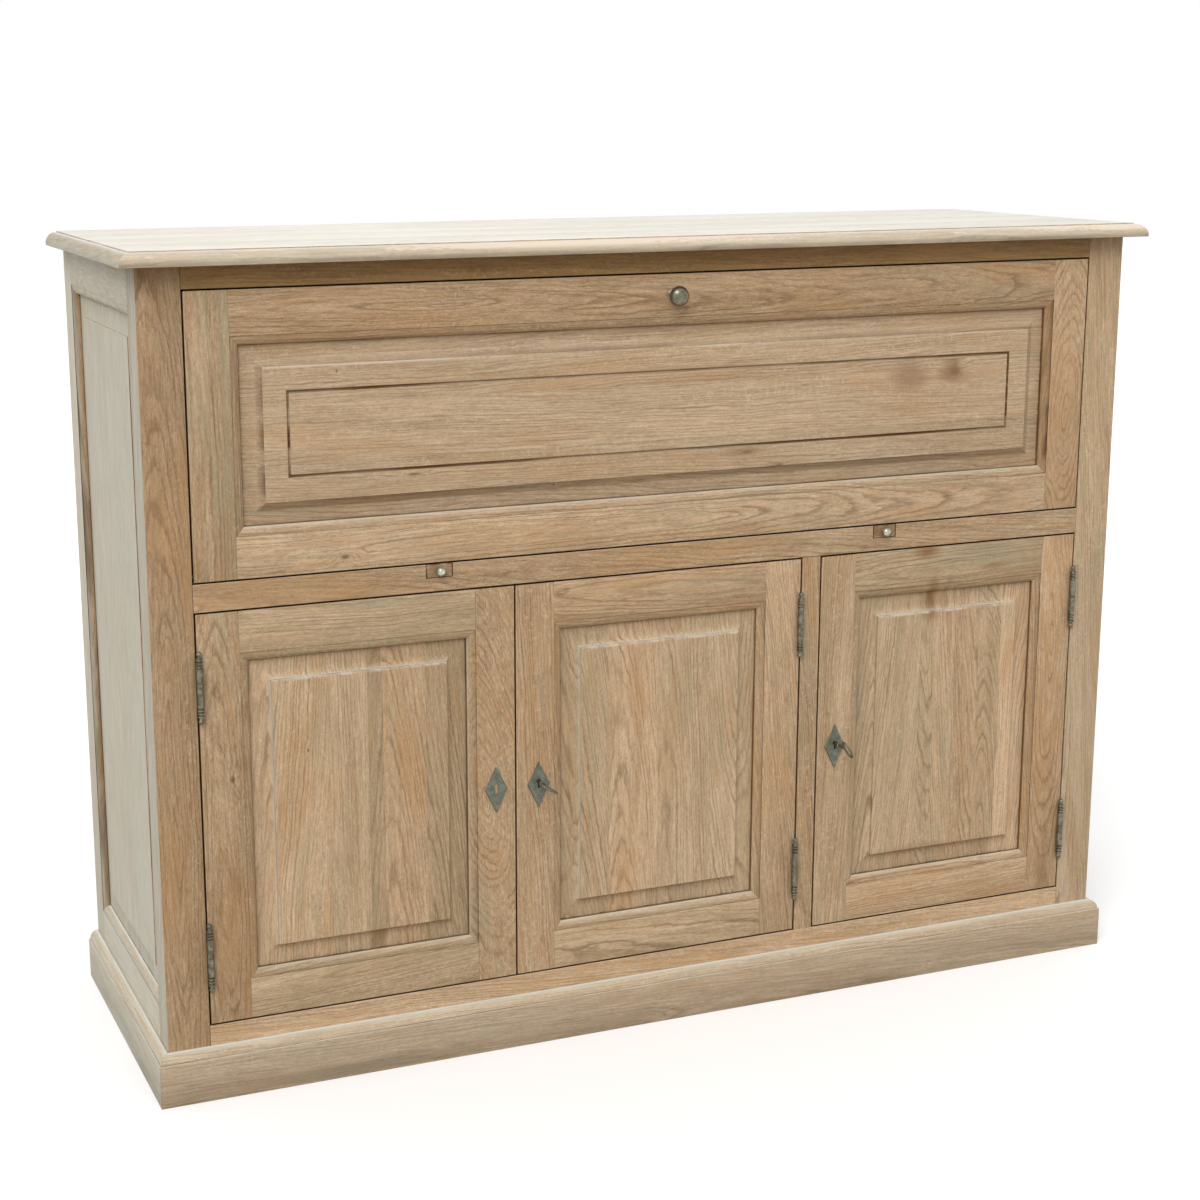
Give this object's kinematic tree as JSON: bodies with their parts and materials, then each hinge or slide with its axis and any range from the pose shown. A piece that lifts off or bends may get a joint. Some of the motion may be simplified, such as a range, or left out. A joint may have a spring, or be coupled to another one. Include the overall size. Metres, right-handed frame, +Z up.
{
  "type": "tall buffet",
  "caption": "Tall panelled oak buffet with a fall-front desk on pull-out lopers over panelled doors with pin hinges, keys and diamond escutcheons.",
  "frame": {"origin": "on the floor under the centre of the whole part's box, keys included", "axes": "+X to the right along the front, +Y from the front to the back, +Z up"},
  "size_m": [1.548, 0.541, 1.152],
  "materials": {
    "oak": "limed, matte wax",
    "inner_oak": "bare inner boards",
    "steel": "aged, dull",
    "pewter": "worn bright"
  },
  "bodies": {
    "carcase": {"top_board": "oak", "plinth_front": "oak", "plinth_left": "oak", "plinth_right": "oak", "front_post_left": "oak", "front_post_right": "oak", "side_frame_left": "oak", "side_frame_right": "oak", "side_panel_left": "oak", "side_panel_right": "oak", "front_top_rail": "oak", "front_middle_rail": "oak", "front_bottom_rail": "oak", "centre_stile": "oak", "back_panel": "inner_oak", "bottom_board": "inner_oak", "desk_floor": "inner_oak", "partition": "inner_oak", "shelf_left": "inner_oak", "shelf_right": "inner_oak", "loper_guide_left": "inner_oak", "loper_guide_right": "inner_oak", "flap_pivot_left": "steel", "flap_pivot_right": "steel", "left_door_bottom_hinge_lower": "steel", "left_door_top_hinge_lower": "steel", "middle_door_bottom_hinge_lower": "steel", "middle_door_top_hinge_lower": "steel", "right_door_bottom_hinge_lower": "steel", "right_door_top_hinge_lower": "steel"},
    "flap": {"flap_frame": "oak", "flap_panel": "oak", "flap_knob": "oak"},
    "loper_left": {"loper_left": "oak", "loper_knob_left": "pewter"},
    "loper_right": {"loper_right": "oak", "loper_knob_right": "pewter"},
    "left_door": {"left_door_frame": "oak", "left_door_panel": "oak", "left_door_escutcheon": "steel", "left_door_bottom_hinge_upper": "steel", "left_door_top_hinge_upper": "steel", "left_door_bolt_guide": "steel"},
    "middle_door": {"middle_door_frame": "oak", "middle_door_panel": "oak", "middle_door_escutcheon": "steel", "middle_door_bottom_hinge_upper": "steel", "middle_door_top_hinge_upper": "steel", "middle_door_lock_case": "steel"},
    "right_door": {"right_door_frame": "oak", "right_door_panel": "oak", "right_door_escutcheon": "steel", "right_door_bottom_hinge_upper": "steel", "right_door_top_hinge_upper": "steel", "right_door_lock_case": "steel"},
    "left_bolt": {"left_door_bolt": "steel"},
    "middle_bolt": {"middle_door_lock_bolt": "steel"},
    "middle_key": {"middle_door_key": "steel"},
    "right_bolt": {"right_door_lock_bolt": "steel"},
    "right_key": {"right_door_key": "steel"}
  },
  "joints": [
    {"name": "flap_fall", "type": "hinge", "parent": "carcase", "child": "flap", "pos_m": [0, -0.2105, 0.7288], "axis": [1, 0, 0], "range_deg": [0, 90]},
    {"name": "loper_left_slide", "type": "slide", "parent": "carcase", "child": "loper_left", "axis": [0, -1, 0], "range_m": [0, 0.3]},
    {"name": "loper_right_slide", "type": "slide", "parent": "carcase", "child": "loper_right", "axis": [0, -1, 0], "range_m": [0, 0.3]},
    {"name": "left_door_swing", "type": "hinge", "parent": "carcase", "child": "left_door", "pos_m": [-0.6877, -0.2245, 0.39225], "axis": [0, 0, -1], "range_deg": [0, 110]},
    {"name": "middle_door_swing", "type": "hinge", "parent": "carcase", "child": "middle_door", "pos_m": [0.2095, -0.2245, 0.39225], "axis": [0, 0, 1], "range_deg": [0, 110]},
    {"name": "right_door_swing", "type": "hinge", "parent": "carcase", "child": "right_door", "pos_m": [0.6877, -0.2245, 0.39225], "axis": [0, 0, 1], "range_deg": [0, 110]},
    {"name": "left_bolt_slide", "type": "slide", "parent": "left_door", "child": "left_bolt", "axis": [0, 0, 1], "range_m": [0, 0.01]},
    {"name": "middle_key_turn", "type": "hinge", "parent": "middle_door", "child": "middle_key", "pos_m": [-0.20535, -0.2195, 0.39225], "axis": [0, 1, 0], "range_deg": [0, 90]},
    {"name": "middle_bolt_slide", "type": "slide", "parent": "middle_door", "child": "middle_bolt", "axis": [-1, 0, 0], "range_m": [0, 0.008]},
    {"name": "right_key_turn", "type": "hinge", "parent": "right_door", "child": "right_key", "pos_m": [0.27475, -0.2195, 0.39225], "axis": [0, 1, 0], "range_deg": [0, 90]},
    {"name": "right_bolt_slide", "type": "slide", "parent": "right_door", "child": "right_bolt", "axis": [-1, 0, 0], "range_m": [0, 0.008]}
  ],
  "couplings": [
    {"joint": "middle_bolt_slide", "follows": "middle_key_turn", "m_per_rad": 0.00509},
    {"joint": "right_bolt_slide", "follows": "right_key_turn", "m_per_rad": 0.00509}
  ]
}
